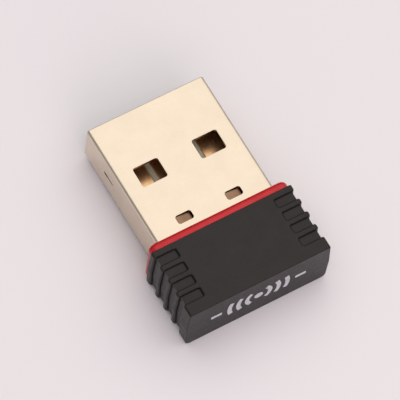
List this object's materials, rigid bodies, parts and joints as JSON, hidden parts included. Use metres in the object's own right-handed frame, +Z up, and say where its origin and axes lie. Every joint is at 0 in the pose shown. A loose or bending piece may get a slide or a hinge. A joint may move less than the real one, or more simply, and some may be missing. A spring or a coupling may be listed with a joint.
{
  "type": "usb wifi adapter",
  "caption": "Nano USB WiFi adapter: folded metal USB-A plug with the circuit board as its tongue, red collar, short black plastic cap with side grip pockets.",
  "frame": {"origin": "middle of the box's underside, in the plane of the cap's flat underside", "axes": "+Y out of the plug's mouth along the plug, +Z up from the cap's underside, +X to the right seen from the cap's end"},
  "size_m": [0.0148, 0.0206, 0.006],
  "materials": {
    "plated_shell": "pale gold plating on folded steel, satin",
    "red_plastic": "moulded, semi-gloss",
    "black_plastic": "fine textured mould",
    "white_ink": "pad print",
    "board_laminate": "solder mask on laminate",
    "gold_plate": "polished",
    "insert_plastic": "moulded",
    "chip_epoxy": "moulded epoxy",
    "solder": "bright tin",
    "white_ceramic": "fired",
    "plated_lid": "plated",
    "tan_ceramic": "fired",
    "resistor_black": "glazed",
    "dark_ferrite": "ferrite",
    "copper": "satin"
  },
  "bodies": {
    "root": {"plug_shell": "plated_shell", "collar": "red_plastic", "housing_cap": "black_plastic", "end_print": "white_ink", "circuit_board": "board_laminate", "contact_vbus": "gold_plate", "contact_data_minus": "gold_plate", "contact_data_plus": "gold_plate", "contact_ground": "gold_plate", "board_carrier": "insert_plastic", "retainer_block": "insert_plastic", "wifi_chip": "chip_epoxy", "wifi_chip_terminals": "solder", "crystal_base": "white_ceramic", "crystal_lid": "plated_lid", "voltage_regulator": "chip_epoxy", "regulator_leads": "solder", "power_inductor": "dark_ferrite", "inductor_terminals": "solder", "decoupling_capacitors": "tan_ceramic", "bulk_capacitors": "tan_ceramic", "chip_resistors": "resistor_black", "antenna_matching_parts": "white_ceramic", "ferrite_bead": "dark_ferrite", "passive_terminals": "solder", "printed_antenna": "copper", "shell_solder_joints": "solder"}
  },
  "joints": []
}
